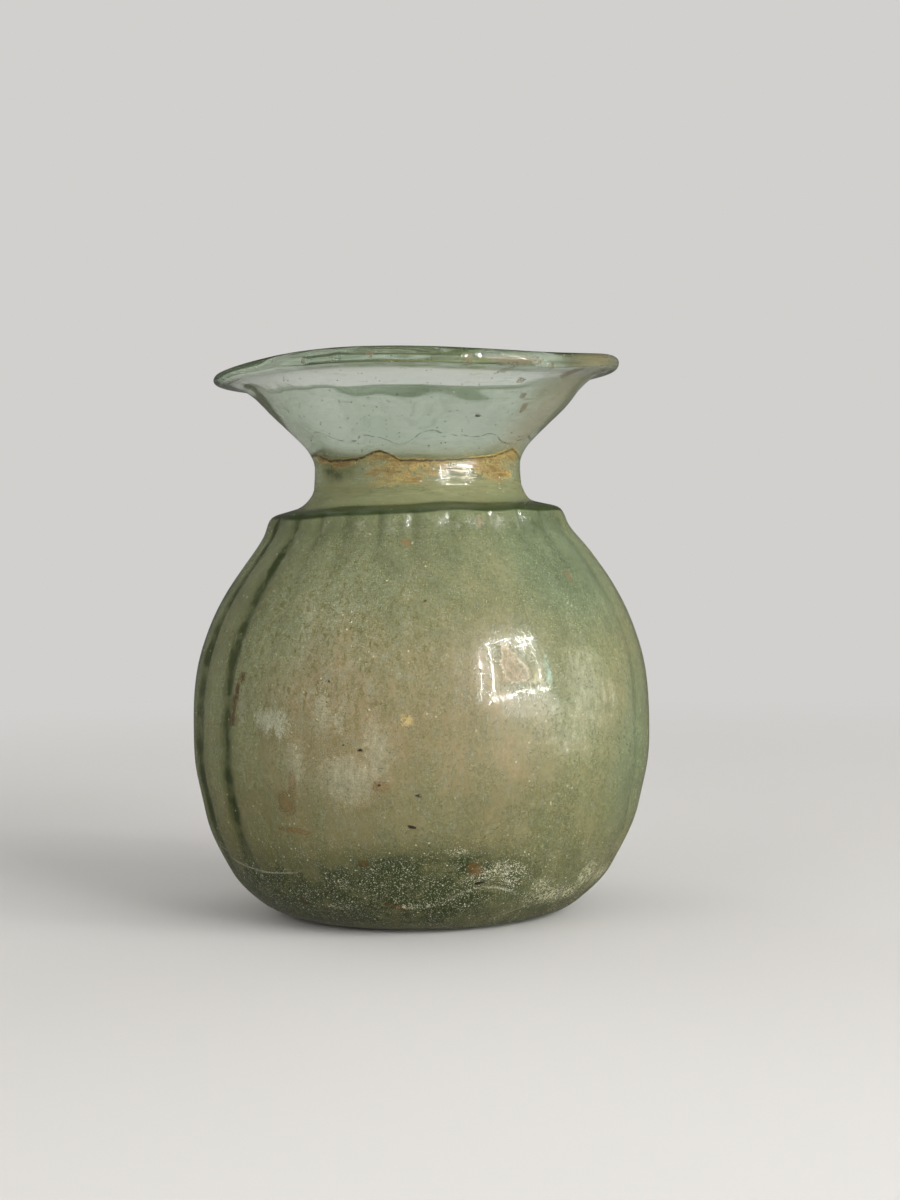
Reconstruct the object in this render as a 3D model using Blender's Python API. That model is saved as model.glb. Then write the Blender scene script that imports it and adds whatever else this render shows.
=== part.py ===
"""Small green glass vase: a free-blown jar with a gadrooned globular body and a funnel mouth.

One piece of glass, hollow, with walls of true thickness. Metres, +Z up.
The origin is the middle of the underside, on the surface that the vase stands on.
"""

import math

import bmesh
import bpy

MM = 0.001

# Driving dimensions. Radii and heights are those of the outer surface at the tops of the gadroons.
HEIGHT = 80.0 * MM
BELLY_RADIUS = 33.9 * MM
BELLY_HEIGHT = 25.5 * MM
UPPER_BODY_RADIUS = 27.7 * MM
UPPER_BODY_HEIGHT = 48.3 * MM
SHOULDER_RADIUS = 21.5 * MM
SHOULDER_HEIGHT = 58.8 * MM
NECK_RADIUS = 15.15 * MM
NECK_TOP = 65.5 * MM
RIM_RADIUS = 29.8 * MM
LIP_WIDE = 1.0 * MM
LIP_TALL = 1.2 * MM
HEEL_RADIUS = 28.7 * MM
HEEL_HEIGHT = 6.8 * MM
FOOT_RADIUS = 18.8 * MM
KICK_RADIUS = 13.0 * MM
KICK_DEPTH = 5.8 * MM

# Thickness of the glass.
WALL_BELLY = 1.5 * MM
WALL_NECK = 1.8 * MM
WALL_HEEL = 2.2 * MM
WALL_FLOOR = 3.2 * MM

# Gadroons: convex lobes that meet in narrow valleys, from the shoulder down to the heel.
GADROONS = 26
GADROON_DEPTH = 0.7 * MM
GADROON_TOP = SHOULDER_HEIGHT - 0.4 * MM
GADROON_FOOT = 4.5 * MM
GADROON_FADE = 12.0 * MM
LOBE_ROUNDNESS = 2.4
INSIDE_SHARE = 0.45
FACETS_PER_GADROON = 4

# Hand-made unevenness: how far each level dips towards -X, as (height, degrees). The foot ring is flat.
DIPS = (
    (0.0, 0.0),
    (0.3 * HEEL_HEIGHT, 0.9),
    (HEEL_HEIGHT, 0.9),
    (BELLY_HEIGHT, 0.1),
    (SHOULDER_HEIGHT, 1.2),
    (NECK_TOP, 0.5),
    (HEIGHT - 6.0 * MM, 0.1),
    (HEIGHT - 1.2 * MM, 1.9),
)


def curve(start, end, steps):
    """Points of a Bezier curve between two stations of the outline, without the last point.

    A station is (radius, height, direction, pull): the curve passes it in that direction, in degrees
    up from +X, and the pull is how far it holds to that direction.
    """
    r0, z0, a0, pull0 = start
    r1, z1, a1, pull1 = end
    c0 = (r0 + pull0 * math.cos(math.radians(a0)), z0 + pull0 * math.sin(math.radians(a0)))
    c1 = (r1 - pull1 * math.cos(math.radians(a1)), z1 - pull1 * math.sin(math.radians(a1)))
    points = []
    for step in range(steps):
        t = step / steps
        weights = ((1 - t) ** 3, 3 * t * (1 - t) ** 2, 3 * t * t * (1 - t), t ** 3)
        ends = ((r0, z0), c0, c1, (r1, z1))
        points.append(tuple(sum(w * e[k] for w, e in zip(weights, ends)) for k in (0, 1)))
    return points


def outline(stations, last):
    """Joins curves through the stations, each given with the number of steps in the curve after it."""
    points = []
    for (start, steps), (end, _) in zip(stations, stations[1:] + [(last, 0)]):
        points += curve(start, end, steps)
    return points + [last[:2]]


def outer_outline():
    """The outside, from the middle of the pushed-in underside up to the rim."""
    under_rim = (RIM_RADIUS - 1.1 * LIP_WIDE, HEIGHT - 2 * LIP_TALL, 20, 4 * MM)
    stations = [
        ((0.0, KICK_DEPTH, 0, 6 * MM), 2),
        ((KICK_RADIUS, 0.0, -32, 3 * MM), 1),
        ((FOOT_RADIUS, 0.0, 6, 6.5 * MM), 3),
        ((HEEL_RADIUS, HEEL_HEIGHT, 60, 2.5 * MM), 3),
        ((BELLY_RADIUS, BELLY_HEIGHT, 90, 9 * MM), 3),
        ((UPPER_BODY_RADIUS, UPPER_BODY_HEIGHT, 123, 7 * MM), 3),
        ((SHOULDER_RADIUS + 0.7 * MM, SHOULDER_HEIGHT - 2.5 * MM, 112, 2.5 * MM), 2),
        ((SHOULDER_RADIUS - 1.2 * MM, SHOULDER_HEIGHT, 172, 0.8 * MM), 1),
        ((NECK_RADIUS + 2.2 * MM, SHOULDER_HEIGHT + 0.7 * MM, 160, 1.0 * MM), 2),
        ((NECK_RADIUS, SHOULDER_HEIGHT + 3.6 * MM, 92, 1.2 * MM), 1),
        ((NECK_RADIUS, NECK_TOP, 88, 0.8 * MM), 1),
        ((NECK_RADIUS + 1.3 * MM, NECK_TOP + 2.7 * MM, 47, 2.5 * MM), 3),
    ]
    return outline(stations, under_rim)


def rim_bead():
    """The rounded, fire-polished lip, taller than it is wide, from the outside over to the mouth's inside."""
    middle = (RIM_RADIUS - LIP_WIDE, HEIGHT - LIP_TALL)
    angles = [math.radians(a) for a in (-60, 0, 60, 120)]
    return [(middle[0] + LIP_WIDE * math.cos(a), middle[1] + LIP_TALL * math.sin(a)) for a in angles]


def inner_outline():
    """The inside, from the rim down to the middle of the floor."""
    bore = NECK_RADIUS - WALL_NECK
    stations = [
        ((RIM_RADIUS - 2.3 * LIP_WIDE, HEIGHT - 0.7 * LIP_TALL, -150, 3 * MM), 2),
        ((NECK_RADIUS + 0.4 * MM, NECK_TOP + 3.7 * MM, -132, 2.2 * MM), 1),
        ((bore, NECK_TOP - 0.4 * MM, -91, 1.5 * MM), 1),
        ((bore, SHOULDER_HEIGHT + 2.4 * MM, -88, 1.5 * MM), 1),
        ((NECK_RADIUS + 3.8 * MM, SHOULDER_HEIGHT - 2.0 * MM, -36, 2.0 * MM), 2),
        ((UPPER_BODY_RADIUS - 1.7 * MM, UPPER_BODY_HEIGHT - 0.3 * MM, -56, 5 * MM), 3),
        ((BELLY_RADIUS - WALL_BELLY, BELLY_HEIGHT, -90, 9 * MM), 3),
        ((HEEL_RADIUS - WALL_HEEL, HEEL_HEIGHT + 1.3 * MM, -122, 3 * MM), 2),
        ((FOOT_RADIUS + 0.2 * MM, WALL_FLOOR, 180, 3 * MM), 3),
    ]
    return outline(stations, (0.0, KICK_DEPTH + WALL_FLOOR, 180, 6 * MM))


def smooth_step(low, high, value):
    """0 below low, 1 above high, and a smooth climb between them."""
    t = min(max((value - low) / (high - low), 0.0), 1.0)
    return t * t * (3 - 2 * t)


def gadroon_depth(height):
    """How deep the valleys are cut at this height: deepest under the shoulder, fading out at the heel."""
    below_shoulder = 1 - smooth_step(GADROON_TOP - 0.8 * MM, GADROON_TOP, height)
    above_heel = smooth_step(GADROON_FOOT, GADROON_FOOT + GADROON_FADE, height)
    near_shoulder = 0.75 + 0.25 * smooth_step(UPPER_BODY_HEIGHT - 3 * MM, UPPER_BODY_HEIGHT + 8 * MM, height)
    return GADROON_DEPTH * below_shoulder * above_heel * near_shoulder


def valley(angle):
    """The share of the valley's depth at this angle: 0 on top of a gadroon, 1 in the valley between two.

    A gadroon's top faces +X, and with 26 of them a valley faces -Y.
    """
    across = (angle * GADROONS / math.tau + 0.5) % 1.0
    return abs(2 * across - 1) ** LOBE_ROUNDNESS


def dip(height):
    """The slope of the level at this height, as rise over run along +X."""
    for (low, before), (high, after) in zip(DIPS, DIPS[1:]):
        if height < high:
            return math.tan(math.radians(before + (after - before) * smooth_step(low, high, height)))
    return math.tan(math.radians(DIPS[-1][1]))


def turn_outline(mesh, depth_layer):
    """Turns the vase's half section once round +Z, with the gadroons' depth stored on every corner."""
    outer = outer_outline() + rim_bead()
    inner = inner_outline()
    section = []
    for place, (radius, height) in enumerate(outer + inner):
        corner = mesh.verts.new((radius, 0.0, height))
        share = 1.0 if place < len(outer) else INSIDE_SHARE
        corner[depth_layer] = share * gadroon_depth(height)
        section.append(corner)
    edges = [mesh.edges.new(pair) for pair in zip(section, section[1:])]
    bmesh.ops.spin(
        mesh,
        geom=section + edges,
        axis=(0, 0, 1),
        cent=(0, 0, 0),
        angle=math.tau,
        steps=GADROONS * FACETS_PER_GADROON,
        use_merge=True,
    )
    bmesh.ops.remove_doubles(mesh, verts=mesh.verts, dist=1e-6)


def press_valleys(mesh, depth_layer):
    """Presses in the valleys between the gadroons."""
    for corner in mesh.verts:
        radius = math.hypot(corner.co.x, corner.co.y)
        if radius > 0:
            pressed = corner[depth_layer] * valley(math.atan2(corner.co.y, corner.co.x))
            scale = (radius - pressed) / radius
            corner.co.x *= scale
            corner.co.y *= scale


def dip_levels(mesh):
    """Tilts each level of the vase by its own dip, as the blower's hand left it."""
    for corner in mesh.verts:
        corner.co.z += corner.co.x * dip(corner.co.z)


def weathered_green_glass():
    """Pale bluish-green natural glass, dulled by burial."""
    material = bpy.data.materials.new("weathered_green_glass")
    material.use_nodes = True
    shader = material.node_tree.nodes["Principled BSDF"]
    shader.inputs["Base Color"].default_value = (0.30, 0.38, 0.22, 1.0)
    shader.inputs["Roughness"].default_value = 0.18
    shader.inputs["Metallic"].default_value = 0.0
    shader.inputs["IOR"].default_value = 1.52
    shader.inputs["Transmission Weight"].default_value = 0.8
    return material


def make_vase():
    """The whole vase, which is one piece of glass."""
    mesh = bmesh.new()
    depth_layer = mesh.verts.layers.float.new("gadroon_depth")
    turn_outline(mesh, depth_layer)
    press_valleys(mesh, depth_layer)
    dip_levels(mesh)
    bmesh.ops.recalc_face_normals(mesh, faces=mesh.faces)
    bmesh.ops.triangulate(mesh, faces=mesh.faces)
    data = bpy.data.meshes.new("gadrooned_vase")
    mesh.to_mesh(data)
    mesh.free()
    data.shade_smooth()
    data.set_sharp_from_angle(angle=math.radians(30))
    data.materials.append(weathered_green_glass())
    vase = bpy.data.objects.new("gadrooned_vase", data)
    bpy.context.scene.collection.objects.link(vase)


for old in list(bpy.data.objects):
    bpy.data.objects.remove(old)
make_vase()
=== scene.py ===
import math
import random

import bpy
import numpy as np
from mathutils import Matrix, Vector


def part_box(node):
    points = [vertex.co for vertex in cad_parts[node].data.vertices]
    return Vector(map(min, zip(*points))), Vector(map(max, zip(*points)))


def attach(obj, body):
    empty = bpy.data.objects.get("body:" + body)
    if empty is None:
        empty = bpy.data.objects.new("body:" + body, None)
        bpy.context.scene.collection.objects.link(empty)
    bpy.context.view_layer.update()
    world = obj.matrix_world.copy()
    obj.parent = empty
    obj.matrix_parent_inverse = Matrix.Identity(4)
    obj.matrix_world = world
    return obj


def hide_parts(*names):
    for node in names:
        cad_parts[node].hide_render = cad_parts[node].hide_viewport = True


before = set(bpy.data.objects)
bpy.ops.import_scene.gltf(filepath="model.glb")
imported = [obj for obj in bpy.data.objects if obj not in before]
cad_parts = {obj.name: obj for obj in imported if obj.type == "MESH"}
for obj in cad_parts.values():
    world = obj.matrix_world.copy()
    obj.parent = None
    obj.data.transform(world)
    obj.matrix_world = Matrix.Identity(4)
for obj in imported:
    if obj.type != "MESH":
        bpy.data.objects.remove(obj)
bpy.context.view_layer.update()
bpy.ops.object.select_all(action="DESELECT")

# The glass wall. The vase is one gather of natural green glass, blown into a ribbed mould, taken out and
# blown larger, with its base pushed in and its mouth opened out like a funnel and fire-polished.
# Its half section is drawn as one curve, from the middle of the underside over the rim to the floor inside.
MM = 0.001
_, vase_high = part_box("gadrooned_vase")
BELLY_RADIUS = vase_high.x / MM - 0.2
BELLY_HEIGHT = 25.5
RIM_RADIUS = 29.8
LIP_WIDE, LIP_TALL = 1.0, 1.22
RIM_DIP = 1.9
RIM_TOP = vase_high.z / MM - RIM_RADIUS * math.tan(math.radians(RIM_DIP)) - 0.05
TURNS = 364
CURVE_STEPS = 16
OUTSIDE_SPACING = 0.58
INSIDE_SPACING = 1.7
SHARPEST_BEND = math.radians(14)

# Each station is (radius, height, direction in degrees, pull before, pull after), lengths in millimetres.
outside = [
    (0.0, 5.8, 0, 5, 5),
    (8.5, 4.1, -24, 3, 2),
    (13.0, 0.35, -40, 2, 0.6),
    (14.2, 0.0, 0, 0.5, 1.5),
    (18.4, 0.0, 0, 1.5, 3),
    (25.2, 2.9, 41, 3, 1.6),
    (28.4, 6.8, 62, 2, 3),
    (32.2, 15.6, 78, 3.5, 3.5),
    (BELLY_RADIUS, BELLY_HEIGHT, 90, 4.5, 5),
    (32.15, 39.2, 108, 5, 4),
    (27.8, 48.3, 123, 3, 2.5),
    (23.6, 54.2, 124, 2, 1.5),
    (22.3, 56.9, 106, 1, 0.9),
    (20.9, 58.6, 160, 0.9, 0.8),
    (17.6, 59.5, 160, 1, 0.8),
    (15.25, 62.3, 94, 1.2, 1.0),
    (15.1, 65.5, 86, 0.8, 0.8),
    (16.6, 68.4, 47, 1, 2),
    (21.7, 73.3, 43, 2.2, 2.2),
    (26.0, 76.6, 27, 1.6, 1),
]
lip_radius = RIM_RADIUS - LIP_WIDE
lip_height = RIM_TOP - LIP_TALL
bead = [
    (lip_radius + 0.15, lip_height - LIP_TALL, 12, 0.9, 0.5),
    (RIM_RADIUS, lip_height, 90, 0.65, 0.65),
    (lip_radius, RIM_TOP, 180, 0.55, 0.6),
    (lip_radius - LIP_WIDE, lip_height + 0.35, 238, 0.55, 0.6),
]
inside = [
    (25.9, 78.0, -148, 0.8, 1.6),
    (20.9, 74.2, -138, 2.2, 2.2),
    (15.6, 69.2, -132, 1.6, 1),
    (13.3, 65.0, -91, 1.4, 1.2),
    (13.35, 61.2, -87, 1.2, 1),
    (15.6, 58.3, -38, 1, 1),
    (19.4, 56.4, -30, 1, 1),
    (22.3, 53.0, -55, 1.4, 2),
    (26.0, 48.0, -57, 2.5, 3),
    (30.6, 39.0, -72, 4, 4),
    (BELLY_RADIUS - 1.5, BELLY_HEIGHT, -90, 5, 4.5),
    (30.5, 15.4, -104, 3.5, 3),
    (26.5, 8.1, -122, 2.5, 2),
    (19.0, 3.3, 180, 3.5, 2.5),
    (12.0, 5.0, 152, 2, 2.5),
    (0.0, 9.0, 180, 5, 5),
]
stations = outside + bead + inside
bpy.ops.curve.primitive_bezier_curve_add()
vase = bpy.context.object
vase.name = "gadrooned_glass"
section = vase.data.splines[0]
section.bezier_points.add(len(stations) - len(section.bezier_points))
for point, (radius, height, direction, before, after) in zip(section.bezier_points, stations):
    place = Vector((radius, 0, height)) * MM
    along = Vector((math.cos(math.radians(direction)), 0, math.sin(math.radians(direction)))) * MM
    point.handle_left_type = "FREE"
    point.handle_right_type = "FREE"
    point.co = place
    point.handle_left = place - before * along
    point.handle_right = place + after * along
vase.data.dimensions = "3D"
vase.data.resolution_u = CURVE_STEPS
bpy.ops.object.convert(target="MESH")
points = [vertex.co.copy() for vertex in vase.data.vertices]
first_inside = CURVE_STEPS * (len(outside) + len(bead) - 1)
inner = vase.data.attributes.new("inner", "FLOAT", "POINT")
inner.data.foreach_set("value", [float(n > first_inside) for n in range(len(points))])

# The curve's points are thinned to an even spacing, closer where it bends and on the side that is seen.
bpy.ops.object.mode_set(mode="EDIT")
bpy.ops.mesh.select_all(action="DESELECT")
bpy.ops.object.mode_set(mode="OBJECT")
kept = 0
for n in range(1, len(points) - 1):
    spacing = (INSIDE_SPACING if n > first_inside else OUTSIDE_SPACING) * MM
    bend = (points[kept + 1] - points[kept]).angle(points[n + 1] - points[n], 0)
    if (points[n] - points[kept]).length > spacing or bend > SHARPEST_BEND:
        kept = n
    else:
        vase.data.vertices[n].select = True
bpy.ops.object.mode_set(mode="EDIT")
bpy.ops.mesh.dissolve_verts()
bpy.ops.mesh.select_all(action="SELECT")
bpy.ops.mesh.spin(steps=TURNS, angle=math.tau, center=(0, 0, 0), axis=(0, 0, 1))
bpy.ops.mesh.select_all(action="SELECT")
bpy.ops.mesh.remove_doubles(threshold=0.000002)
bpy.ops.mesh.normals_make_consistent(inside=False)
bpy.ops.object.mode_set(mode="OBJECT")

# The gadroons and the hand's unevenness. The mould's ribs left convex lobes that meet in narrow valleys,
# plainest under the shoulder and down the left, and worn almost smooth by the second blowing in front.
# The wall wanders a little, and each level dips towards one side, the rim most.
GADROONS = 26
VALLEY_DEPTH = 0.7
VALLEY_FOOT, VALLEY_FULL = 4.5, 13.0
VALLEY_TOP = 58.5
LEDGE_HEIGHT = 58.65
INNER_SHARE = 0.5
DIP_LEVELS = [0, 2, 6.8, 25.5, 58.8, 65.5, 74, 78.8]
DIPS = [0, 0.9, 0.9, 0.1, 1.2, 0.5, 0.1, RIM_DIP]
RIM_WAVE = [
    (-80, 0), (-58, 0.1), (-45, 0.6), (-28, 1.05), (-10, 0.8),
    (14, 0), (30, -0.6), (45, -0.8), (60, -0.4), (80, 0),
]
chance = random.Random(26)
places = np.empty(3 * len(vase.data.vertices))
vase.data.vertices.foreach_get("co", places)
places = places.reshape(-1, 3) / MM
wall_inside = np.empty(len(places))
vase.data.attributes["inner"].data.foreach_get("value", wall_inside)
wall_inside = wall_inside > 0.5
turn = np.arctan2(places[:, 0], -places[:, 1])
radius = np.hypot(places[:, 0], places[:, 1])
height = places[:, 2].copy()


def climb(values, low, high):
    """0 at low, 1 at high, and a smooth climb between them. Low may be the greater."""
    share = np.clip((values - low) / (high - low), 0, 1)
    return share * share * (3 - 2 * share)


def wander(size, stretch=1.0, waves=16):
    """Smooth lumps over the vase, mostly within -1 to 1, size millimetres across and stretched upwards."""
    total = np.zeros(len(places))
    for _ in range(waves):
        way = np.array([chance.gauss(0, 1) for _ in range(3)])
        way *= math.pi / size / np.linalg.norm(way) * chance.uniform(0.6, 1.5)
        way[2] /= stretch
        total += np.sin(places @ way + chance.uniform(0, math.tau))
    return total / math.sqrt(waves)


def beside(around, half_width):
    """1 at this many degrees round from the front, falling to 0 half_width degrees away."""
    off = np.abs((np.degrees(turn) - around + 180) % 360 - 180)
    return climb(off, half_width, 0)


rows = turn * GADROONS / math.tau
rows += 0.15 * np.sin(2 * turn + 0.7) + 0.08 * np.sin(5 * turn + 2.1) + 0.05 * np.sin(9 * turn)
rows += 0.07 * np.sin(height / 15)
nearest = np.round(rows)
strength = np.array([chance.uniform(0.7, 1.1) for _ in range(GADROONS)])
valley = np.abs(1 - 2 * np.abs(rows - nearest)) ** 2.6
valley *= strength[nearest.astype(int) % GADROONS]
valley *= 1 - np.clip(1.5 * beside(9, 84), 0, 0.88) * climb(height, 57, 47)
valley *= 1 - 0.4 * beside(-68, 50) * climb(height, 38, 54)
valley *= climb(height, VALLEY_FOOT, VALLEY_FULL) * climb(height, VALLEY_TOP, VALLEY_TOP - 0.9)
pressed = VALLEY_DEPTH * valley * np.where(wall_inside, INNER_SHARE, 1)
loose = climb(height, 1.5, 8)
grown = (0.09 * wander(11) - 0.08 + 0.25 * beside(-95, 70)) * loose
grown -= 0.6 * beside(88, 60) * climb(height, 52, 57) * climb(height, 61.5, 59.5)
grown += 0.12 * wander(5) * climb(height, 5, 10) * wall_inside
grown += (0.003 * wander(1.7) + 0.010 * wander(3.5)) * loose * climb(height, 66, 60)
grown += 0.025 * np.sin(height * 5 + np.sin(height * 1.3)) * climb(height, 69, 72) * climb(height, 78, 76)
scale = np.where(radius > 0.01, (radius - pressed + grown) / np.maximum(radius, 0.01), 1)
places[:, 0] *= scale
places[:, 1] *= scale
thinner_lip = 0.26 * beside(-90, 80) + 0.3 * beside(90, 80)
places[:, 2] += thinner_lip * (RIM_TOP - height) * climb(height, 73, 78)
rim_wave = [np.interp(np.degrees(turn) + off, *zip(*RIM_WAVE), period=360) for off in (-12, -6, 0, 6, 12)]
places[:, 2] += np.mean(rim_wave, axis=0) * climb(height, 70, 79)
places[:, 2] += places[:, 0] * np.tan(np.radians(np.interp(height, DIP_LEVELS, DIPS)))
vase.data.vertices.foreach_set("co", (places * MM).ravel())
bpy.ops.object.shade_smooth()

# What burial left on the glass, laid out over the wall as soft masks: the dull skin of decayed glass, tan
# earth film, milky flaking, neck dirt, stains, and white lime crust round the foot; with painted shade (dark
# rib valleys, a dark foot, dark patches, a line under the ledge, dark lip bands, darker towards the bottom)
# and painted highlights (lobe tops under the shoulder, a brighter patch right of the window). A patch is
# (degrees round from the front, height, half width, half height) in millimetres, and may add a strength.
FAR = 20.0
outer_order = np.argsort(height[~wall_inside], kind="stable")
outer_heights = height[~wall_inside][outer_order]
outer_radii = radius[~wall_inside][outer_order]


def wall_radius(level):
    """How far the outside of the wall is from the axis, at this height."""
    return float(np.interp(level, outer_heights, outer_radii))


def patches(listed):
    """2 at the middle of the nearest patch, 1 at its edge and 0 beyond it, over the whole wall."""
    found = np.zeros(len(places))
    for around, level, half_width, half_height, *amount in listed:
        off = (turn - math.radians(around) + math.pi) % math.tau - math.pi
        away = np.hypot(off * wall_radius(level) / half_width, (places[:, 2] - level) / half_height)
        found = np.maximum(found, 1 + sum(amount or [1]) - away)
    return found * ~wall_inside


def lay(name, values):
    """Keeps a mask on the mesh for the finish to read."""
    kept_mask = vase.data.attributes.new(name, "FLOAT", "POINT")
    kept_mask.data.foreach_set("value", values)


def traced(route):
    """How far each point is above a line drawn round the wall through (degrees round, height) pairs."""
    around, level = zip(*route)
    return places[:, 2] - np.interp(np.degrees(turn), around, level, period=360)


def outlined(corners):
    """How far inside a patch each point is. Its corners are (degrees round, height in millimetres)."""
    middle = np.mean(corners, axis=0)
    unroll = (math.radians(wall_radius(middle[1])), 1)
    off = (np.degrees(turn) - middle[0] + 180) % 360 - 180
    spots = np.stack([off, places[:, 2] - middle[1]], 1) * unroll
    shape = (np.array(corners) - middle) * unroll
    edge_away = np.full(len(spots), FAR)
    inside_it = np.zeros(len(spots), bool)
    for start, end in zip(shape, np.roll(shape, -1, axis=0)):
        side = end - start
        share = np.clip((spots - start) @ side / (side @ side), 0, 1)
        edge_away = np.minimum(edge_away, np.linalg.norm(spots - start - share[:, None] * side, axis=1))
        crosses = (start[1] > spots[:, 1]) != (end[1] > spots[:, 1])
        meets = start[0] + (spots[:, 1] - start[1]) * side[0] / (side[1] or 1)
        inside_it ^= crosses & (spots[:, 0] < meets)
    return np.where(inside_it & ~wall_inside, edge_away, -edge_away)


def lay_line(name, distance):
    """Keeps a distance from a line or an edge on the mesh, raised so that 0 is far away from it."""
    lay(name, np.clip(distance, -FAR, FAR) + FAR)


body_part = climb(height, 61, 57.5)
mouth_part = climb(height, 65.5, 69)
neck_part = (1 - body_part) * (1 - mouth_part)
cloudy = wander(9)
lay("blotchy", 0.11 * wander(2.8) + 0.07 * wander(1.5) + 0.04 * wander(0.9))
smeared = wander(2.4, stretch=0.4)
streaky = wander(2.2, stretch=9)
hidden = [chance.uniform(85, 275) for _ in range(60)]
tan_front = climb(patches([(-8, 30, 30, 22), (170, 33, 24, 18), (100, 26, 8, 14)]), 0.8, 1.9)
# A clearer window in the skin at the foot, where the same patch is also painted as shade.
foot_window_shade = climb(patches([(3, 7.2, 19, 7.0), (150, 8, 14, 6)]), 0.85, 1.5)
teal_spots = [(52, 50, 12, 10), (66, 22, 9, 15), (235, 45, 12, 14), (-86, 40, 6, 20)]
teal_side = climb(patches(teal_spots), 0.7, 1.8)
# Painted shade in the rib valleys, strongest down the left and under the shoulder.
ribs = 0.1 + 1.3 * beside(-64, 30) + 0.3 * beside(180, 90) + 0.6 * climb(height, 47, 56)
ribs *= valley**0.7 * climb(valley, 0, 0.4)
ribs *= 1 - 0.5 * climb(height, 38, 54)
dulled = 0.10 + body_part * (0.33 + 0.06 * cloudy + 0.04 * streaky) + neck_part * 0.26
dulled += tan_front * 0.14 - teal_side * 0.06 - foot_window_shade * 0.2 - ribs * 0.06 + mouth_part * 0.03 * cloudy
dulled += mouth_part * (0.34 * beside(64, 36) + 0.16 * beside(-62, 30) + 0.1 * beside(180, 60) - 0.03)
# A thicker skin in a broad patch right of the window: painted light that brightens the body there.
dulled += 0.12 * climb(patches([(44, 30, 14, 16)]), 0.6, 1.9)
dulled += 0.2 * climb(patches([(-56, 64.4, 5, 3)]), 0.6, 1.6)
dulled += 0.24 * climb(height, 58.8, 59.6) * climb(height, 64, 62)
dulled += 0.14 * climb(height, 26, 8) * beside(-55, 60)
lay("skin", np.clip(dulled, 0, 1) * np.where(wall_inside, 0.7, 1))
lay("aqua", mouth_part * (1 - 0.8 * beside(60, 32)))
earthy = tan_front * 0.9 + 0.22 * cloudy + 0.07 * streaky
earthy -= 0.5 * climb(patches([(-56, 50, 9, 12)]), 0.6, 1.9)
earthy -= 0.3 * climb(height, 40, 54) * body_part + 0.6 * neck_part
lay("earth", np.clip(earthy, 0, 1) + mouth_part * beside(62, 36))
lay("teal", np.clip(teal_side + 0.3 * climb(height, 42, 56) * body_part, 0, 1))
olive_neck = 0.8 * climb(patches([(-52, 64.6, 4.2, 1.9), (-62, 66.2, 2, 1), (120, 64, 3, 1.4)]), 0.6, 1.7)
# Painted shade: darker patches down the left, under the ledge's corners and at the foot's left.
dim_spots = [(-56, 50, 9, 12), (-72, 30, 5, 26), (-46, 4.5, 9, 5), (-64, 56.4, 5, 2.6), (60, 57, 6, 2.2)]
dim_left = climb(patches(dim_spots), 0.6, 1.9)
dark_foot = climb(patches([(-44, 4.5, 15, 7)]), 0.6, 1.7)
# The shade mask: painted shade from all of these, with the olive patches on the neck.
shaded = ribs * 1.2 + foot_window_shade * 0.92 + olive_neck + dim_left * 0.42 + dark_foot * 0.95
lay("shade", np.clip(shaded, 0, 1) * ~wall_inside)
# Painted shade: dark bands along the top and underside of the lip, at its ends and on the bead at the back.
lip_shade_bands = climb(height, RIM_TOP - 0.5, RIM_TOP - 0.15)
lip_shade_bands += climb(height, 76.8, 77.15) * climb(height, 77.75, 77.4)
lip_shade_bands = lip_shade_bands * beside(0, 110) + 1.4 * beside(-92, 26) + 0.5 * beside(92, 20)
lip_shade_bands += 0.5 * beside(180, 110) * climb(height, 76, 77.5)
lay("lip_shade", np.clip(lip_shade_bands, 0, 1) * climb(radius, RIM_RADIUS - 3.0, RIM_RADIUS - 2.2))
# The distance from the ledge's height, for a line of painted shade along it.
lay_line("ledge", height - LEDGE_HEIGHT + 0.15 * wander(6))
# Painted shade: umber towards the bottom, more on the left, darker and browner low down.
lay("low", climb(places[:, 2], 36, 7) * (0.75 + 0.45 * beside(-55, 60)))
# Milky flaking with painted highlights among it: the row at 56 mm lights the tops of the lobes under the
# shoulder, and the large patches right of the window brighten the body there.
milk_and_highlight_spots = [
    (43, 33, 5, 7, 1.1), (38, 28, 6, 4, 0.8), (78, 26.3, 0.9, 1.4), (-22.8, 31.7, 1.1, 3.4),
    (-18.2, 30.5, 0.8, 2), (53.5, 31.7, 1.0, 3.0, 0.8), (-46.3, 32, 1, 3.4), (-9.6, 26, 1.8, 4, 1.0),
    (-17, 22.5, 3.4, 2.8, 1.3), (-30, 24, 1.8, 3.4), (38, 31, 6, 6, 0.6), (-30, 42, 2, 6, 0.5),
    (-22, 45, 1.6, 5, 0.5), (36, 31.5, 3.4, 2.4, 0.7), (-35.5, 56.2, 0.9, 1.3, 0.8),
    (-21, 56.4, 1, 1.2, 0.8), (-9, 56.4, 1.2, 1.1, 0.9), (14, 56.4, 1, 1.2, 0.8), (23, 56.4, 0.8, 1.2, 0.8),
    (30, 56.3, 0.9, 1.3), (39, 56.3, 0.8, 1.5, 0.9), (54, 56.2, 0.8, 1.6), (68, 56, 0.8, 1.8),
    (61, 63.2, 1.6, 1.4, 0.6),
]
milk_and_highlight_spots += [
    (a, chance.uniform(12, 52), chance.uniform(1, 5), chance.uniform(2, 6), 0.8) for a in hidden[:14]
]
lay("milk_and_highlight", patches(milk_and_highlight_spots))
lay_line("crease", traced([
    (-180, 65.5), (-110, 66.6), (-68, 66.8), (-55, 65.7), (-34, 65.8), (-27, 66.3), (-20, 66.9),
    (-15, 66.4), (-9, 65.5), (12, 65.4), (24, 65.6), (36, 65.8), (47, 66.1), (61, 67.2), (80, 66.0),
    (130, 65.2),
]))
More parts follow.
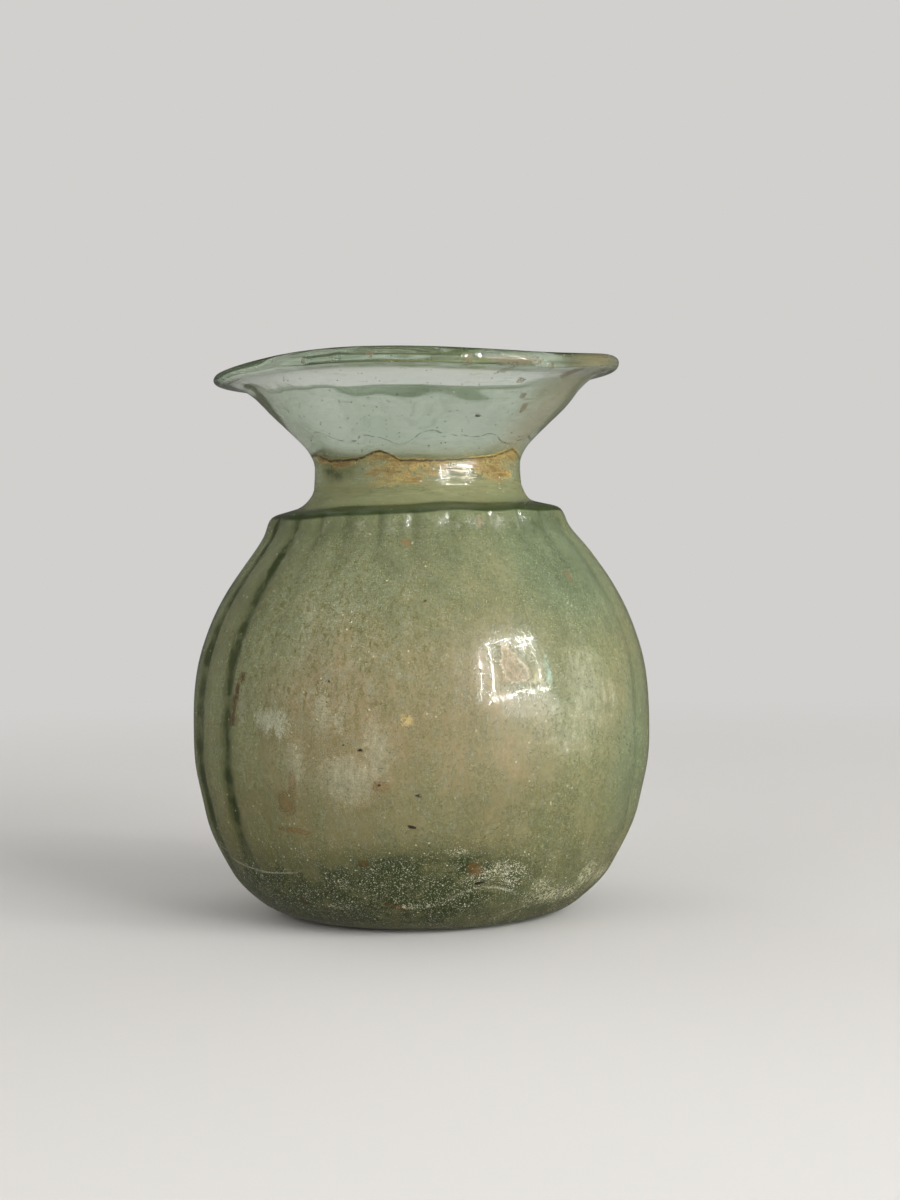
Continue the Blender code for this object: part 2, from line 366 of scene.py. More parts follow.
lay_line("scar", outlined([
    (19.4, 37.6), (20.4, 38.6), (20.2, 39.6), (21.4, 40.6), (22.2, 39.2), (24.0, 38.9), (24.6, 37.8),
    (26.9, 37.2), (26.2, 36.3), (27.0, 35.2), (24.8, 35.3), (23.4, 34.4), (22.2, 35.3), (20.4, 35.2),
    (20.6, 36.4),
]))
lay_line("pale", outlined([
    (-42.5, 31.4), (-38, 32.0), (-31.5, 31.6), (-31, 29.4), (-33.5, 27.6), (-37.5, 28.2), (-41.8, 29.2),
]))
STREAK_FOOT, STREAK_TOP = 28.8, 36.8
streak_route = [(29.2, -50.6), (31, -50.2), (33, -48.9), (34.5, -48.2), (36.2, -46.6)]
from_streak = np.degrees(turn) - np.interp(places[:, 2], *zip(*streak_route))
from_streak *= math.radians(wall_radius(33))
streaked = (places[:, 2] > STREAK_FOOT) & (places[:, 2] < STREAK_TOP) & ~wall_inside
lay_line("streak", np.where(streaked, from_streak, FAR))
neck_spots = [
    (-13, 64.0, 4.6, 2.2, 1.1), (2, 64.2, 3.6, 1.7, 0.9), (14, 64.6, 2.6, 1.2, 0.6), (-21, 66.4, 1.8, 0.8),
    (49, 65.4, 3.4, 1.9, 1.6), (57, 66.6, 2.2, 1.3, 1.4), (-47, 65.4, 2.8, 1.0, 0.8),
    (-64, 66.8, 1.8, 1.2, 1.2), (135, 63.6, 5, 2, 1.2), (180, 64.6, 6, 1.6), (-125, 64.6, 4, 1.8, 1.2),
    (230, 65.4, 8, 1.0, 1.2),
]
lay("neck_dirt", climb(patches(neck_spots), 0.6, 1.6) * (1 + 0.35 * smeared))
lime_spots = [
    (21, 9.2, 2.6, 1.3), (26, 7.8, 1.6, 0.9), (15, 8.0, 1.6, 0.5), (46, 4.6, 2.6, 1.0),
    (55, 6.4, 1.6, 1.8, 1.2), (66, 6, 1.8, 1.0), (-22, 7.6, 1.6, 1.0, 0.5), (-14, 10, 1.2, 0.8, 0.4),
    (36, 6.4, 2.4, 1.4, 0.5), (-26, 4.2, 1.2, 0.6, 0.5), (9, 12.4, 2.4, 1.0, 0.3),
]
lime_spots += [
    (a, chance.uniform(3, 10), chance.uniform(1, 4), chance.uniform(0.5, 1.5)) for a in hidden[14:30]
]
lay("lime", patches(lime_spots))
rust_spots = [
    (23, 78.4, 1.8, 0.5), (28.5, 78.3, 2.8, 0.6, 1.4), (53, 77.4, 1.6, 0.7), (-33.4, 18.9, 2.2, 1.8, 0.8),
    (-31, 22, 0.8, 2.4, 0.8), (-9, 21.6, 1.6, 1.0, 0.7), (-38, 4.6, 1.2, 1.0, 0.3), (104, 40, 1, 2),
    (180, 77.8, 2.5, 0.6),
]
for stain_turn in hidden[30:44]:
    stain = (chance.uniform(10, 56), chance.uniform(0.8, 2.4), chance.uniform(0.8, 2.4))
    rust_spots.append((stain_turn, *stain, 0.8))
lay("rust", patches(rust_spots))
pitted_spots = [(-26, 42, 20, 14), (-36, 30, 4, 3), (230, 20, 9, 9), (105, 40, 9, 12)]
lay("pitted", climb(patches(pitted_spots), 0.6, 1.6))

# Bubbles trapped in the wall: small clear hollows, most of them in the thin glass of the funnel. Each is a
# shell facing inwards, joined into the glass. It is (degrees round, height, radius across, radius up).
bubbles = [
    (26.7, 71.8, 0.5, 0.5), (14, 72.3, 0.2, 0.15), (21.9, 69.9, 0.14, 0.14), (-5, 71.2, 0.12, 0.1),
    (-17.5, 20.7, 0.6, 0.6), (-37.3, 24.5, 0.42, 0.45), (-26, 30.5, 0.3, 0.34), (32, 17.5, 0.5, 0.42),
    (-14, 40.3, 0.18, 0.3), (41, 38, 0.2, 0.36), (5, 47, 0.14, 0.22), (-40, 46, 0.16, 0.3),
]
for bubble_turn in hidden[40:]:
    bubble_height = chance.choice([chance.uniform(12, 52), chance.uniform(69, 76)])
    size = chance.uniform(0.12, 0.4)
    bubbles.append((bubble_turn, bubble_height, size, size * chance.uniform(0.9, 1.7)))
BUBBLE_DEPTH = 0.85
bpy.ops.object.select_all(action="DESELECT")
for bubble_turn, bubble_height, across, up in bubbles:
    way = math.radians(bubble_turn)
    lean = math.atan2(wall_radius(bubble_height + 1) - wall_radius(bubble_height - 1), 2)
    reach = wall_radius(bubble_height) - BUBBLE_DEPTH / math.cos(lean)
    slope = math.tan(math.radians(float(np.interp(bubble_height, DIP_LEVELS, DIPS))))
    aside = reach * math.sin(way)
    spot = Vector((aside, -reach * math.cos(way), bubble_height + aside * slope))
    bpy.ops.mesh.primitive_uv_sphere_add(segments=14, ring_count=9, radius=MM, location=spot * MM)
    bubble = bpy.context.object
    bubble.scale = (across, 0.5 * across, up)
    bubble.rotation_euler = (-lean, 0, way)
    bpy.ops.object.transform_apply(location=True, rotation=True, scale=True)
    bpy.ops.object.shade_smooth()
    bpy.ops.object.mode_set(mode="EDIT")
    bpy.ops.mesh.select_all(action="SELECT")
    bpy.ops.mesh.flip_normals()
    bpy.ops.object.mode_set(mode="OBJECT")
    vase.select_set(True)
    bpy.context.view_layer.objects.active = vase
    bpy.ops.object.join()
    bpy.ops.object.select_all(action="DESELECT")


# The glass and its weathering. Clear bluish-green glass, greener the further light goes through it, under a
# thin dull skin of decayed glass that lets half the light by, with earth, rust and lime on top of that, and
# painted shade, painted highlights and a painted reflection laid into the skin's colour.
class Number:
    """A socket that holds a number. Arithmetic on it adds Math nodes."""

    def __init__(self, finish, socket):
        self.finish = finish
        self.socket = socket

    def maths(self, operation, first, second=0.0, clamp=False):
        settings = {"operation": operation, "use_clamp": clamp}
        made = self.finish.node("ShaderNodeMath", settings, {0: first, 1: second})
        return Number(self.finish, made.outputs[0])

    def __add__(self, other):
        return self.maths("ADD", self, other)

    def __sub__(self, other):
        return self.maths("SUBTRACT", self, other)

    def __rsub__(self, other):
        return self.maths("SUBTRACT", other, self)

    def __mul__(self, other):
        return self.maths("MULTIPLY", self, other)

    __radd__ = __add__
    __rmul__ = __mul__

    def least(self, other):
        return self.maths("MINIMUM", self, other)

    def most(self, other):
        return self.maths("MAXIMUM", self, other)

    def size(self):
        return self.maths("ABSOLUTE", self)

    def sine(self):
        return self.maths("SINE", self)

    def held(self):
        """This number kept between 0 and 1."""
        return self.maths("ADD", self, 0.0, clamp=True)

    def fade(self, low, high):
        """0 at low and 1 at high, with a smooth climb between them. Low may be the greater."""
        settings = {"interpolation_type": "SMOOTHSTEP"}
        if low > high:
            sockets = {"Value": self, "From Min": high, "From Max": low, "To Min": 1.0, "To Max": 0.0}
        else:
            sockets = {"Value": self, "From Min": low, "From Max": high}
        made = self.finish.node("ShaderNodeMapRange", settings, sockets)
        return Number(self.finish, made.outputs["Result"])


class Finish:
    """The node tree of one material."""

    def __init__(self, name):
        self.material = bpy.data.materials.new(name)
        self.material.use_nodes = True
        self.tree = self.material.node_tree
        self.tree.nodes.clear()

    def node(self, kind, settings, sockets):
        """Adds a node, sets its settings, and then gives its sockets their values or links."""
        made = self.tree.nodes.new(kind)
        for name, value in settings.items():
            setattr(made, name, value)
        for name, value in sockets.items():
            if isinstance(value, Number):
                value = value.socket
            if isinstance(value, bpy.types.NodeSocket):
                self.tree.links.new(value, made.inputs[name])
            else:
                made.inputs[name].default_value = value
        return made

    def mask(self, name):
        """A mask laid on the mesh."""
        return Number(self, self.node("ShaderNodeAttribute", {"attribute_name": name}, {}).outputs["Fac"])

    def line(self, name):
        """The distance from a line laid on the mesh."""
        return self.mask(name) - FAR

    def cloud(self, vector, scale, detail=3.0, roughness=0.55):
        """Noise from 0 to 1."""
        sockets = {"Vector": vector, "Scale": scale, "Detail": detail, "Roughness": roughness}
        return Number(self, self.node("ShaderNodeTexNoise", {}, sockets).outputs["Fac"])

    def blend(self, share, first, second):
        """The first colour where share is 0 and the second where it is 1."""
        made = self.node("ShaderNodeMix", {"data_type": "RGBA"}, {0: share, 6: first, 7: second})
        return made.outputs[2]

    def marks(self, unrolled, listed):
        """How far a point is inside the nearest of these ellipses: 1 at its centre and 0 on its edge.

        Each is (degrees round, height, half width, half height), the last three in millimetres.
        """
        inside = None
        for around, level, half_width, half_height in listed:
            half_turn = math.degrees(half_width / wall_radius(level))
            around = (around + 180) % 360 - 180
            moved = self.node(
                "ShaderNodeVectorMath",
                {"operation": "MULTIPLY_ADD"},
                {
                    0: unrolled,
                    1: (1 / half_turn, 1 / half_height, 0),
                    2: (-around / half_turn, -level / half_height, 0),
                },
            )
            away = self.node("ShaderNodeVectorMath", {"operation": "LENGTH"}, {0: moved.outputs["Vector"]})
            away = Number(self, away.outputs["Value"])
            inside = away if inside is None else inside.least(away)
        return 1 - inside


glass = Finish("weathered_glass")
in_metres = glass.node("ShaderNodeTexCoord", {}, {}).outputs["Object"]
to_millimetres = (1 / MM, 1 / MM, 1 / MM)
at = glass.node("ShaderNodeMapping", {}, {"Vector": in_metres, "Scale": to_millimetres}).outputs["Vector"]
apart = glass.node("ShaderNodeSeparateXYZ", {}, {"Vector": at})
level = Number(glass, apart.outputs["Z"])
right = Number(glass, apart.outputs["X"])
ahead = Number(glass, apart.outputs["Y"]) * -1.0
around = right.maths("ARCTAN2", right, ahead) * math.degrees(1)
inner_wall = glass.mask("inner")
grain = glass.cloud(at, 1.5, 3.0, 0.6)
fine = glass.cloud(at, 6.0, 2.0, 0.6)
blotchy = glass.mask("blotchy")
below_ledge = level.maths("LESS_THAN", level, LEDGE_HEIGHT)
sideways = below_ledge * 1.2 + 0.35
upwards = 2.2 - below_ledge * 1.75
stretch = glass.node("ShaderNodeCombineXYZ", {}, {"X": sideways, "Y": sideways, "Z": upwards})
stretch = stretch.outputs["Vector"]
stretched = glass.node("ShaderNodeVectorMath", {"operation": "MULTIPLY"}, {0: at, 1: stretch})
brushed = glass.cloud(stretched.outputs["Vector"], 1.0, 3.0, 0.65)
wavy_around = around + (grain - 0.5) * 3.0
wavy_level = level + blotchy * 2.0
flat = glass.node("ShaderNodeCombineXYZ", {}, {"X": wavy_around, "Y": wavy_level}).outputs["Vector"]
cell = glass.node("ShaderNodeTexVoronoi", {}, {"Vector": at, "Scale": 1.7, "Randomness": 1.0})
cell_away = Number(glass, cell.outputs["Distance"])
cell_colour = glass.node("ShaderNodeSeparateColor", {}, {"Color": cell.outputs["Color"]})
cell_pick = Number(glass, cell_colour.outputs[0])

outer_wall = 1 - inner_wall
on_body = level.fade(60.5, 57.5)
in_mouth = glass.mask("aqua")
grainy = grain - 0.5
finely = fine - 0.5
broken = blotchy * 1.6 + grainy * 2.2 + finely * 2.2
speckled = fine.fade(0.44, 0.56)
sparkling = glass.cloud(at, 3.4, 1.0, 0.5).fade(0.50, 0.57)

# Small stains and flaws, each in its own place, with a painted highlight on the neck, a painted reflection
# at the window's edge, a painted glow along the crease and a painted shade line under the ledge.
small_stains = glass.marks(
    flat,
    [
        (-30.6, 78.7, 0.35, 0.6), (-21.6, 78.6, 0.3, 0.5), (-11.3, 78.8, 0.8, 0.45), (14.3, 78.6, 0.7, 0.7),
        (26.4, 77.1, 0.8, 0.35), (39.6, 77.8, 0.6, 0.5), (35.3, 76.2, 0.6, 0.35), (40.6, 74, 0.7, 0.35),
        (45.6, 72.6, 0.7, 0.5), (-3.8, 53.9, 0.7, 0.7), (23, 56.6, 0.6, 0.8), (49.8, 48.7, 0.7, 1.2),
        (-47, 35.4, 0.4, 0.9), (-48.6, 33.6, 0.45, 1.0), (-50, 31.4, 0.5, 1.5), (-32.4, 15.3, 2.4, 0.45),
        (14.6, 9.6, 1.0, 0.9), (13.2, 10.6, 0.5, 0.5), (-14.5, 11, 0.7, 0.5), (76.5, 27.8, 0.4, 0.6),
        (-7.4, 4.6, 0.4, 0.5), (-5.6, 4.1, 0.3, 0.4), (-9.8, 4.9, 0.3, 0.3),
    ],
)
rust = (glass.mask("rust") - 1.0).most(small_stains) + broken * 0.5
rust_edge = rust.fade(-0.05, 0.2) * rust.fade(0.6, 0.3) * speckled
rust = rust.fade(-0.3, 0.7) * (speckled * 0.6 + 0.4)
yolk = (glass.marks(flat, [(-2.6, 30.3, 1.0, 0.9)]) + broken * 0.5).fade(-0.1, 0.6)
# A painted highlight: a cream streaked patch on the neck's right, where the window reflects.
neck_highlight = (glass.marks(flat, [(26, 63.9, 3.2, 1.3), (33, 64.6, 1.2, 0.7)]) + broken * 0.4).fade(-0.1, 0.5)
neck_highlight = neck_highlight * brushed.fade(0.45, 0.56)
scar = glass.line("scar") + broken * 0.45
fold = (1 - (scar - 0.75 + grainy).size() * (1 / 0.12)).fade(0.0, 1.0) * 0.5
scar_edge = (1 - (scar - 0.05).size() * (1 / 0.2)).fade(0.0, 1.0) * (speckled * 0.6 + 0.3) + fold
scar = scar.fade(-0.1, 0.3) * (grain.fade(0.35, 0.6) * 0.5 + 0.5)
streak = (1 - (glass.line("streak") + grainy * 2.4).size() * (1 / 0.9) + broken * 1.8).fade(0.2, 0.9)
pale = (glass.line("pale") + broken * 1.0).fade(-0.3, 0.9) * (speckled * 0.45 + 0.55)
# A painted reflection: a broken bluish-green line down the window's right edge.
window_edge_sheen = (glass.marks(flat, [(32.3, 36.0, 0.5, 2.2)]) + broken * 0.9).fade(0.1, 0.5) * speckled
holes = glass.marks(
    flat,
    [
        (-2, 16.4, 0.8, 0.4), (0, 20.2, 0.28, 0.28), (-13.4, 26.3, 0.26, 0.28), (15.7, 7.7, 0.9, 0.3),
        (-9, 22, 0.4, 0.2), (-21, 35.4, 0.17, 0.2), (-21, 33.2, 0.13, 0.15), (-27, 34.1, 0.15, 0.3),
        (-31, 39.3, 0.2, 0.15), (-17.5, 26.8, 0.14, 0.13), (2, 46.3, 0.22, 0.2),
    ],
).fade(0.0, 0.3)
seam_across = (around + 48) * (1 / 28)
seam = (1 - (level - seam_across * seam_across * 3.0 - 8.4).size() * (1 / 0.2)).fade(0.0, 0.9)
seam = seam * around.fade(-30, -42) * around.fade(-84, -70) * 0.8
arc_across = (around - 18) * (1 / 10)
arc = (1 - (level + arc_across * arc_across * 1.5 - 7.1 + grainy).size() * (1 / 0.3)).fade(0.0, 0.8)
arc = arc * around.fade(4, 11) * around.fade(31, 25) * grain.fade(0.4, 0.55)
second_across = (around - 40) * (1 / 11)
second_arc = (level + second_across * second_across * 0.9 - 3.6 + grainy).size()
second_arc = (1 - second_arc * (1 / 0.25)).fade(0.0, 0.8)
arc = arc + second_arc * around.fade(20, 26) * around.fade(54, 44) * 0.7
wave = (around * 0.21).sine() * 0.55 + (around * 0.09).sine() * 0.5 + blotchy * 2.0
drawn = (1 - (level - wave - 68.7).size() * (1 / 0.14)).fade(0.0, 0.8) * grain.fade(0.42, 0.55)
rings = brushed.fade(0.54, 0.64) * level.fade(72.5, 74.0) * level.fade(76.4, 75.6) * 0.4
# Milky flaking and painted highlights, broken up.
milk_and_highlight = (glass.mask("milk_and_highlight") - 1.0 + broken * 0.6).fade(-0.4, 0.9) * (brushed.fade(0.36, 0.62) * 0.35 + 0.5)
crease = glass.line("crease")
crease_line = (1 - (crease + grainy * 0.6).size() * (1 / 0.24)).fade(0.0, 0.8)
crease_line = crease_line * outer_wall * grain.fade(0.3, 0.45)
# A painted highlight: a yellow glow just above the crease on the window side.
crease_glow = (1 - (crease - 0.3).size() * (1 / 0.4)).fade(0.0, 1.0) * around.fade(20, 40) * outer_wall
neck_dirt = glass.mask("neck_dirt")
neck_dirt = neck_dirt * crease.fade(0.5, 0.1) + crease.fade(-1.6, -0.1) * crease.fade(0.35, 0.1) * 0.6
neck_dirt = (neck_dirt * (broken * 0.9 + 1.15) + (brushed - 0.5) * 2.2).fade(0.15, 1.25) * outer_wall
# Painted shade: a dark line along the ledge, with a softer band round it.
ledge = glass.line("ledge").size()
ledge_shade_line = ((1 - ledge).fade(0.0, 0.7) + (1 - ledge * (1 / 2.6)).held() * 0.3) * outer_wall
lime = (glass.mask("lime") - 1.0 + broken * 0.5).fade(-0.5, 0.8)
near_foot = level.fade(17.0, 9.0)
picked = (cell_pick + near_foot * 0.2 + lime * 0.45 + blotchy * 0.6).fade(0.95, 0.99)
grains = cell_away.fade(0.26, 0.12) * picked
crusted = (lime * 0.6 + blotchy * 2.0 + glass.mask("shade") * 0.5 + 0.25).held()
grains = (1 - rust) * grains.most(fine.fade(0.58, 0.65) * near_foot * crusted)
small_crust = glass.marks(flat, [(-3.2, 4.5, 1.3, 0.5), (2, 4.8, 1.0, 0.35), (29, 35.6, 0.8, 0.8)])
lime = lime.most((small_crust + broken * 0.5).fade(-0.1, 0.5))
lime = lime * (grain.fade(0.50, 0.58) * 0.6 + fine.fade(0.52, 0.60) * 0.7).held() * 0.8
specks = cell_away.fade(0.30, 0.14) * cell_pick.fade(0.82, 0.84) * (1 - on_body)
pits = (cell_pick + 0.3 - glass.mask("pitted") * 0.3 - pale * 0.3).fade(0.2, 0.15)
pits = cell_away.fade(0.30, 0.16) * pits * on_body

sage = (0.29, 0.295, 0.14, 1)
aqua = (0.34, 0.42, 0.33, 1)
tan = (0.365, 0.262, 0.132, 1)
umber = (0.15, 0.125, 0.032, 1)
teal = (0.19, 0.29, 0.17, 1)
deep_green = (0.019, 0.033, 0.004, 1)
milky = (0.50, 0.53, 0.41, 1)
brown = (0.055, 0.034, 0.009, 1)
rusty = (0.13, 0.06, 0.014, 1)
brown_ochre = (0.15, 0.082, 0.02, 1)
yellow = (0.38, 0.26, 0.075, 1)
lime_white = (0.62, 0.60, 0.43, 1)
ochre_spot = (0.52, 0.36, 0.12, 1)
highlight_cream = (0.66, 0.56, 0.44, 1)
black_brown = (0.035, 0.024, 0.006, 1)
near_black = (0.012, 0.008, 0.002, 1)
glow_yellow = (0.40, 0.34, 0.11, 1)
scar_pink = (0.34, 0.235, 0.16, 1)
scar_rim = (0.80, 0.66, 0.50, 1)
sheen_colour = (0.45, 0.72, 0.62, 1)
clear_mouth = (0.97, 0.985, 0.96, 1)
clear_body = (0.955, 0.935, 0.76, 1)
# The dark green that painted shade gives the clear glass.
shade_glass_tint = (0.12, 0.17, 0.07, 1)
lit_through = (0.36, 0.34, 0.18, 1)
deep_glass = (0.42, 0.68, 0.42, 1)
colour = glass.blend((glass.mask("earth") + blotchy * 0.8 + grainy * 0.4).held(), sage, tan)
colour = glass.blend(in_mouth * 0.9, colour, aqua)
colour = glass.blend(glass.mask("teal") * 0.8, colour, teal)
# Painted shade: umber towards the bottom.
colour = glass.blend((glass.mask("low") * 0.68).held(), colour, umber)
colour = glass.blend((milk_and_highlight * 0.5 + pale * 0.75).held(), colour, milky)
colour = glass.blend(yolk * 0.9, colour, ochre_spot)
colour = glass.blend(neck_highlight, colour, highlight_cream)
uneven = glass.mask("pitted") * 0.8 + milk_and_highlight * 0.8 + 0.8
scratches = (brushed.fade(0.53, 0.61) * (glass.mask("pitted") * 0.8 + 0.15) * on_body).held()
colour = glass.blend(scratches, colour, umber)
chalky = (brushed.fade(0.46, 0.34) * (glass.mask("pitted") * 0.3 + 0.25) * on_body).held()
colour = glass.blend(chalky, colour, milky)
colour = glass.blend(((finely * -1.2 - grainy * 0.8) * uneven).held() * on_body, colour, umber)
colour = glass.blend(((finely * 1.6 + grainy * 0.6) * uneven).held() * on_body, colour, milky)
# Painted shade: the shade mask darkens the skin to deep green.
shade = (glass.mask("shade") * (1 + blotchy * 2.2 + grainy * 1.8)).held()
colour = glass.blend(shade, colour, deep_green)
colour = glass.blend(pits * 0.7, colour, deep_green)
ochre = glass.blend(brushed.fade(0.62, 0.42) * 0.7 + grain.fade(0.42, 0.6) * 0.3, brown_ochre, yellow)
colour = glass.blend(neck_dirt * 0.9, colour, ochre)
colour = glass.blend((rust * 0.9).held(), colour, rusty)
dark = rust_edge * 0.8 + streak * 0.9 + (neck_dirt + rust) * fine.fade(0.52, 0.4) * 0.6
colour = glass.blend(dark.held(), colour, brown)
colour = glass.blend(crease_line, colour, black_brown)
# Tooling lines, striations and specks in deep green, with the painted shade line under the ledge.
colour = glass.blend((drawn * 1.5 + rings * 0.7 + specks + ledge_shade_line).held(), colour, deep_green)
colour = glass.blend(crease_glow * 0.4, colour, glow_yellow)
colour = glass.blend(scar * 0.6, colour, scar_pink)
colour = glass.blend(scar_edge.held(), colour, scar_rim)
colour = glass.blend((lime * 0.8 + grains + seam * 0.4 + arc * 0.3).held(), colour, lime_white)
colour = glass.blend(window_edge_sheen * 0.7, colour, sheen_colour)
colour = glass.blend(holes, colour, near_black)
skin = glass.mask("skin") + (brushed - 0.5) * (0.7 - in_mouth * 0.62)
skin = skin + on_body * (blotchy * 0.35 + grainy * 0.3 + finely * 0.2) + in_mouth * grainy * 0.05
skin = skin - glass.mask("lip_shade") * 0.35
dirt = rust * 0.7 + yolk * 0.5 + neck_highlight * 0.55 + window_edge_sheen * 0.3 + rust_edge * 0.4 + lime * 0.6
dirt = dirt + grains * 0.8 + holes + pits * 0.3 + neck_dirt * 0.55 + crease_line * 0.85
dirt = dirt + seam * 0.2 + arc * 0.15 + milk_and_highlight * 0.2 + drawn * 0.45 + rings * 0.2 + specks * 0.6
dirt = dirt + glass.mask("shade") * 0.5 + glass.mask("low") * 0.12 + ledge_shade_line * 0.9
dirt = dirt + scar * 0.25 + scar_edge * 0.5 + streak * 0.7 + pale * 0.4
cover = (skin + dirt * outer_wall + rings * inner_wall * 0.3).held()

rough_skin = glass.node(
    "ShaderNodeBump", {}, {"Strength": 0.5, "Distance": 0.026 * MM, "Height": fine * (1 - in_mouth * 0.9)}
).outputs["Normal"]
# Painted shade: the lip bands and the shade mask tint the clear glass dark green.
shade_tinted = (glass.mask("lip_shade") * (brushed + 0.4) + glass.mask("shade") * 0.6).held()
clear_glass = glass.node(
    "ShaderNodeBsdfPrincipled",
    {},
    {
        "Base Color": glass.blend(shade_tinted, glass.blend(on_body * 0.8, clear_mouth, clear_body), shade_glass_tint),
        "Roughness": on_body * (inner_wall * 0.2 - sparkling * 0.17 + 0.21),
        "IOR": 1.5,
        "Transmission Weight": 1.0,
        "Normal": rough_skin,
    },
)
glossy = (1 - in_mouth) * (sparkling * 0.85 + 0.15 + (1 - on_body) * 0.3)
glossy = (glossy * (on_body * 0.6 + brushed.fade(0.44, 0.54)) - lime - rust).held()
dirty_film = glass.node(
    "ShaderNodeBsdfPrincipled",
    {},
    {
        "Base Color": colour,
        "Roughness": (0.42 + finely * 0.5 + lime * 0.3).held(),
        "Normal": rough_skin,
        "Coat Weight": glossy,
        "Coat Roughness": 0.06,
        "Coat IOR": 1.8,
    },
)
glow = glass.node("ShaderNodeBsdfTranslucent", {}, {"Color": lit_through, "Normal": rough_skin})
solid = holes + rust * 0.8 + rust_edge + streak + crease_line + pits * 0.7 + neck_dirt * 0.5
solid = (solid + shade * 0.4 + ledge_shade_line * 0.4).held()
translucent_share = (1 - solid) * 0.35
film = glass.node(
    "ShaderNodeMixShader", {}, {0: translucent_share, 1: dirty_film.outputs["BSDF"], 2: glow.outputs["BSDF"]}
)
surface = glass.node(
    "ShaderNodeMixShader", {}, {0: cover, 1: clear_glass.outputs["BSDF"], 2: film.outputs["Shader"]}
)
depth = glass.node("ShaderNodeVolumeAbsorption", {}, {"Color": deep_glass, "Density": 120.0})
whole = {"Surface": surface.outputs["Shader"], "Volume": depth.outputs["Volume"]}
glass.node("ShaderNodeOutputMaterial", {}, whole)
vase.data.materials.clear()
vase.data.materials.append(glass.material)

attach(vase, "root")
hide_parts("gadrooned_vase")

# The studio: a round cove of pale paper that glows evenly away from the vase, a window-shaped soft box
# with brighter edges in front to the right, and broad fill that neither gloss nor clear glass shows.
paper = Finish("pale_paper")
paper_at = paper.node("ShaderNodeTexCoord", {}, {}).outputs["Object"]
from_vase = paper.node("ShaderNodeVectorMath", {"operation": "LENGTH"}, {0: paper_at}).outputs["Value"]
lit_share = Number(paper, from_vase).fade(0.12, 0.42)
paper_matt = paper.node(
    "ShaderNodeBsdfPrincipled", {}, {"Base Color": (0.47, 0.46, 0.445, 1), "Roughness": 0.7}
)
paper_lit = paper.node("ShaderNodeEmission", {}, {"Color": (0.64, 0.63, 0.615, 1), "Strength": 1.0})
paper_surface = paper.node(
    "ShaderNodeMixShader",
    {},
    {0: lit_share, 1: paper_matt.outputs["BSDF"], 2: paper_lit.outputs["Emission"]},
)
paper.node("ShaderNodeOutputMaterial", {}, {"Surface": paper_surface.outputs["Shader"]})
COVE_RADIUS, WALL_TOP, FLOOR_BELOW = 1.3, 0.62, 0.0002
cove_top = (0, 0, WALL_TOP)
bpy.ops.mesh.primitive_circle_add(vertices=96, radius=COVE_RADIUS, fill_type="NGON", location=cove_top)
cove = bpy.context.object
cove.name = "paper_cove"
bpy.ops.object.transform_apply(location=True, rotation=False, scale=False)
bpy.ops.object.mode_set(mode="EDIT")
bpy.ops.mesh.select_all(action="SELECT")
bpy.ops.mesh.extrude_region_move(TRANSFORM_OT_translate={"value": (0, 0, -WALL_TOP - FLOOR_BELOW)})
bpy.ops.mesh.inset(thickness=0.5)
bpy.ops.object.mode_set(mode="OBJECT")
soft = cove.modifiers.new("curve of the cove", "BEVEL")
soft.limit_method = "ANGLE"
soft.angle_limit = math.radians(45)
soft.width = 0.3
soft.segments = 20
bpy.ops.object.modifier_apply(modifier=soft.name)
bpy.ops.object.shade_smooth()
cove.data.materials.append(paper.material)
cove.visible_glossy = False
paper.material.cycles.emission_sampling = "NONE"

world = bpy.data.worlds.new("soft_room")
world.use_nodes = True
world.node_tree.nodes["Background"].inputs["Color"].default_value = (0.84, 0.81, 0.74, 1)
world.node_tree.nodes["Background"].inputs["Strength"].default_value = 0.15
bpy.context.scene.world = world

AIM_HEIGHT = 0.04


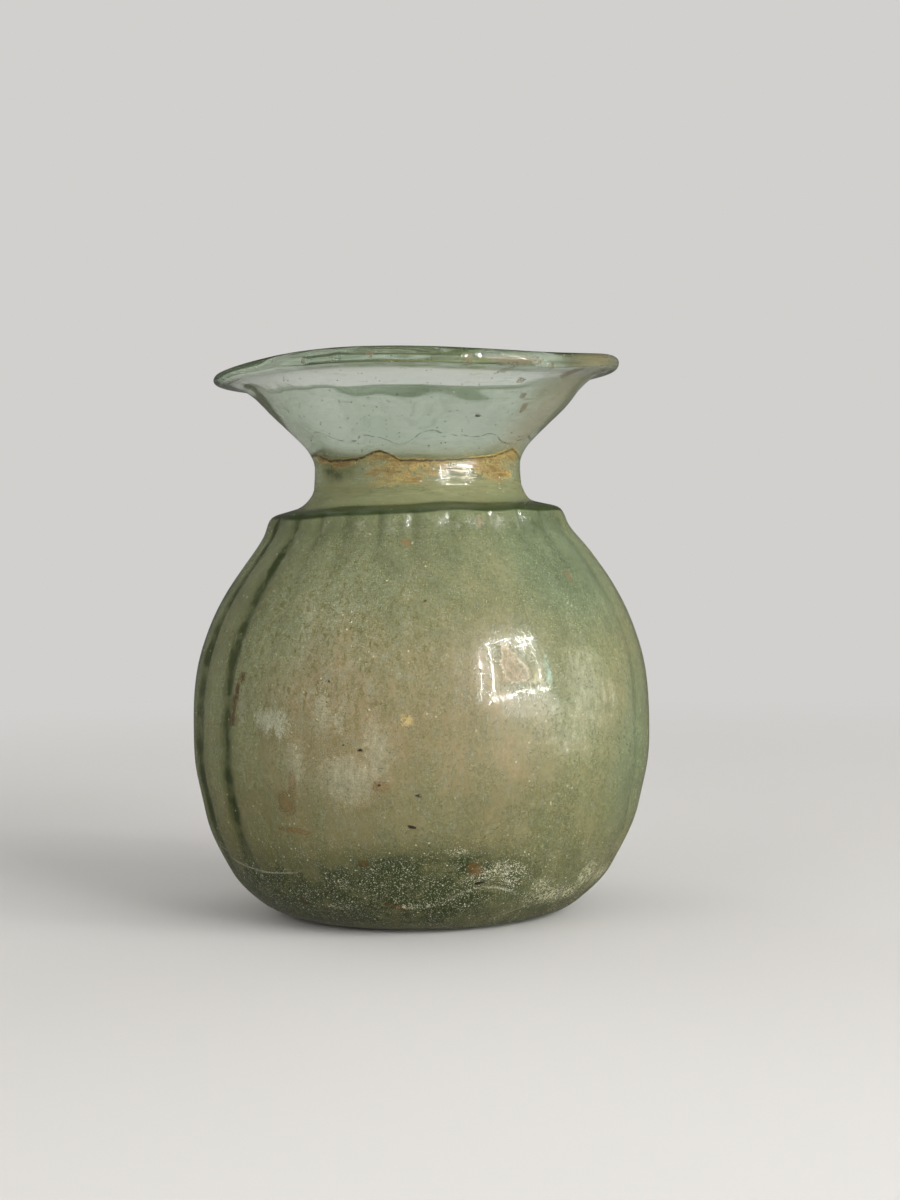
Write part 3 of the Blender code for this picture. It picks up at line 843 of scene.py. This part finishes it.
def soft_box(name, around, up, distance, width, tall, power, roll=0, glossy=True):
    """A rectangular light at this many degrees round from the front and up, facing the vase."""
    bpy.ops.object.light_add(type="AREA")
    lamp = bpy.context.object
    lamp.name = name
    lamp.data.shape = "RECTANGLE"
    lamp.data.size = width
    lamp.data.size_y = tall
    lamp.data.energy = power
    side, raised = math.radians(around), math.radians(up)
    away = Vector((math.sin(side) * math.cos(raised), -math.cos(side) * math.cos(raised), math.sin(raised)))
    lamp.location = Vector((0, 0, AIM_HEIGHT)) + distance * away
    lamp.rotation_euler = away.to_track_quat("Z", "Y").to_euler()
    lamp.rotation_euler.rotate_axis("Z", math.radians(roll))
    lamp.visible_camera = False
    lamp.visible_transmission = False
    lamp.visible_glossy = glossy


soft_box("window", 44, 18, 0.6, 0.45, 0.28, 0.03)
soft_box("window_left_edge", 28, 18, 0.6, 0.006, 0.30, 0.75, roll=-5)
soft_box("window_bar", 35, 19, 0.6, 0.006, 0.30, 0.65, roll=-3)
soft_box("window_right_edge", 59, 19, 0.6, 0.008, 0.26, 0.55)
soft_box("window_sill", 47, 5, 0.6, 0.34, 0.014, 0.80, roll=7)
soft_box("window_head", 48, 32, 0.6, 0.26, 0.010, 0.55, roll=-9)
soft_box("window_garden", 54, 1, 0.6, 0.34, 0.07, 0.36)
soft_box("window_light", 56, 28, 1.1, 0.86, 0.59, 16.0, glossy=False)
soft_box("left_fill", -50, 30, 1.1, 1.0, 0.8, 8.6, glossy=False)
soft_box("back_fill", 140, 32, 1.1, 0.9, 0.6, 6.0, glossy=False)
soft_box("other_back_fill", 230, 32, 1.1, 0.9, 0.6, 7.0, glossy=False)
soft_box("overhead", 180, 75, 0.9, 1.2, 0.8, 5.5, glossy=False)

# The camera stands level with the shoulder, a little to one side, and looks slightly down.
VIEW_DISTANCE, VIEW_HEIGHT, VIEW_SIDE = 303.7 * MM, 53.8 * MM, 4.5 * MM
LOOK_DOWN, LEAN = 1.6, 0.8
bpy.ops.object.camera_add(location=(VIEW_SIDE, -VIEW_DISTANCE, VIEW_HEIGHT))
camera = bpy.context.object
camera.rotation_euler = (math.radians(90 - LOOK_DOWN), math.radians(LEAN), 0)
camera.data.lens = 61.5
camera.data.clip_start = 0.01
bpy.context.scene.camera = camera
bpy.context.scene.view_settings.view_transform = "Standard"
